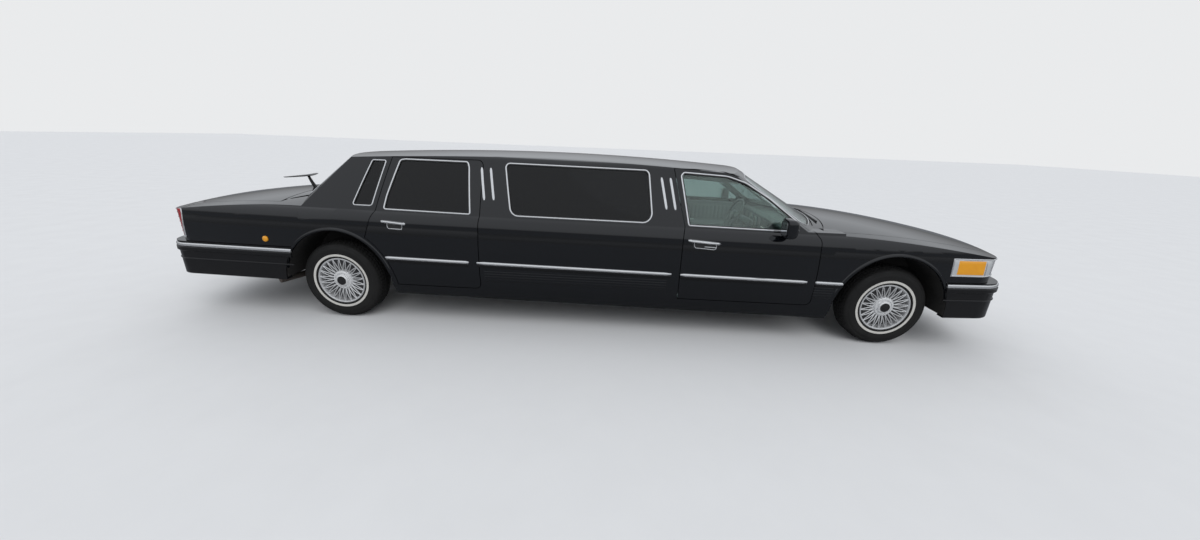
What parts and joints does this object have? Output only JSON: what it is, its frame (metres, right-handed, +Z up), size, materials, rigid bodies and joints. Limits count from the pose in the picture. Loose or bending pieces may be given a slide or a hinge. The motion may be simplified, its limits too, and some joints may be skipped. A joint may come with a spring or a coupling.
{
  "type": "stretch limousine",
  "caption": "Long black stretched saloon car with opening doors, hood and trunk lid, steered and rolling wheels, and a furnished, partitioned cabin.",
  "frame": {"origin": "on the ground under the middle of the bounding box", "axes": "+X forward to the nose, +Y to the car's left, +Z up"},
  "size_m": [7.2136, 2.17, 1.4449],
  "materials": {
    "paint": "gloss",
    "underbody": "dull black",
    "bumper": "satin",
    "mirror_shell": "gloss",
    "bright": "bright",
    "lamp_clear": "clear lens",
    "lamp_red": "red lens",
    "glass_clear": "clear",
    "glass_dark": "dark tint",
    "interior": "matt",
    "upholstery": "soft",
    "pipe": "dull",
    "alloy": "bright",
    "tyre": "matt"
  },
  "bodies": {
    "chassis": {"frame_rails": "underbody", "floor_pan": "underbody", "side_frame_left": "paint", "side_frame_right": "paint", "roof_panel": "paint", "quarter_panels": "paint", "boot_shell": "paint", "cowl": "paint", "front_fenders": "paint", "wheel_houses": "underbody", "front_bumper": "bumper", "rear_bumper": "bumper", "grille": "bright", "headlamps": "lamp_clear", "tail_lamps": "lamp_red", "windscreen": "glass_clear", "rear_window": "glass_dark", "fixed_side_glass": "glass_dark", "wipers": "mirror_shell", "dashboard": "interior", "front_seats": "upholstery", "rear_seats": "upholstery", "partition": "interior", "engine_block": "underbody", "radiator": "underbody", "driveline": "underbody", "rear_axle": "underbody", "front_suspension": "underbody", "exhaust": "pipe", "fuel_tank": "underbody"},
    "door_front_left": {"door_front_left": "paint", "door_glass_front_left": "glass_clear", "mirror_left": "mirror_shell"},
    "door_front_right": {"door_front_right": "paint", "door_glass_front_right": "glass_clear", "mirror_right": "mirror_shell"},
    "door_rear_left": {"door_rear_left": "paint", "door_glass_rear_left": "glass_dark"},
    "door_rear_right": {"door_rear_right": "paint", "door_glass_rear_right": "glass_dark"},
    "hood": {"hood": "paint"},
    "trunk_lid": {"trunk_lid": "paint", "aerial": "mirror_shell"},
    "knuckle_left": {"knuckle_left": "underbody"},
    "knuckle_right": {"knuckle_right": "underbody"},
    "wheel_front_left": {"rim_front_left": "alloy", "tyre_front_left": "tyre"},
    "wheel_front_right": {"rim_front_right": "alloy", "tyre_front_right": "tyre"},
    "wheel_rear_left": {"rim_rear_left": "alloy", "tyre_rear_left": "tyre"},
    "wheel_rear_right": {"rim_rear_right": "alloy", "tyre_rear_right": "tyre"},
    "steering_wheel": {"steering_wheel": "interior"}
  },
  "joints": [
    {"name": "door_front_left_hinge", "type": "hinge", "parent": "chassis", "child": "door_front_left", "pos_m": [1.972, 0.95, 0.605], "axis": [0, 0, -1], "range_deg": [0, 65]},
    {"name": "door_rear_left_hinge", "type": "hinge", "parent": "chassis", "child": "door_rear_left", "pos_m": [-0.766, 0.95, 0.605], "axis": [0, 0, -1], "range_deg": [0, 65]},
    {"name": "door_front_right_hinge", "type": "hinge", "parent": "chassis", "child": "door_front_right", "pos_m": [1.972, -0.95, 0.605], "axis": [0, 0, 1], "range_deg": [0, 65]},
    {"name": "door_rear_right_hinge", "type": "hinge", "parent": "chassis", "child": "door_rear_right", "pos_m": [-0.766, -0.95, 0.605], "axis": [0, 0, 1], "range_deg": [0, 65]},
    {"name": "hood_hinge", "type": "hinge", "parent": "chassis", "child": "hood", "pos_m": [1.994, 0, 0.93818], "axis": [0, -1, 0], "range_deg": [0, 55]},
    {"name": "trunk_hinge", "type": "hinge", "parent": "chassis", "child": "trunk_lid", "pos_m": [-2.598, 0, 0.98198], "axis": [0, 1, 0], "range_deg": [0, 75]},
    {"name": "steer_left", "type": "hinge", "parent": "chassis", "child": "knuckle_left", "pos_m": [2.567, 0.7, 0.341], "axis": [0, 0, 1], "range_deg": [-33, 33]},
    {"name": "steer_right", "type": "hinge", "parent": "chassis", "child": "knuckle_right", "pos_m": [2.567, -0.7, 0.341], "axis": [0, 0, 1], "range_deg": [-33, 33]},
    {"name": "wheel_front_left_spin", "type": "hinge", "parent": "knuckle_left", "child": "wheel_front_left", "pos_m": [2.567, 0.7975, 0.341], "axis": [0, 1, 0], "continuous": true},
    {"name": "wheel_rear_left_spin", "type": "hinge", "parent": "chassis", "child": "wheel_rear_left", "pos_m": [-2.066, 0.804, 0.341], "axis": [0, 1, 0], "continuous": true},
    {"name": "wheel_front_right_spin", "type": "hinge", "parent": "knuckle_right", "child": "wheel_front_right", "pos_m": [2.567, -0.7975, 0.341], "axis": [0, 1, 0], "continuous": true},
    {"name": "wheel_rear_right_spin", "type": "hinge", "parent": "chassis", "child": "wheel_rear_right", "pos_m": [-2.066, -0.804, 0.341], "axis": [0, 1, 0], "continuous": true},
    {"name": "steering_wheel_turn", "type": "hinge", "parent": "chassis", "child": "steering_wheel", "pos_m": [1.582, 0.375, 0.85], "axis": [-0.9135, 0, 0.4067], "range_deg": [-520, 520]}
  ],
  "couplings": [
    {"joint": "steer_left", "follows": "steer_right", "ratio": 1},
    {"joint": "steering_wheel_turn", "follows": "steer_right", "ratio": 15.5}
  ]
}
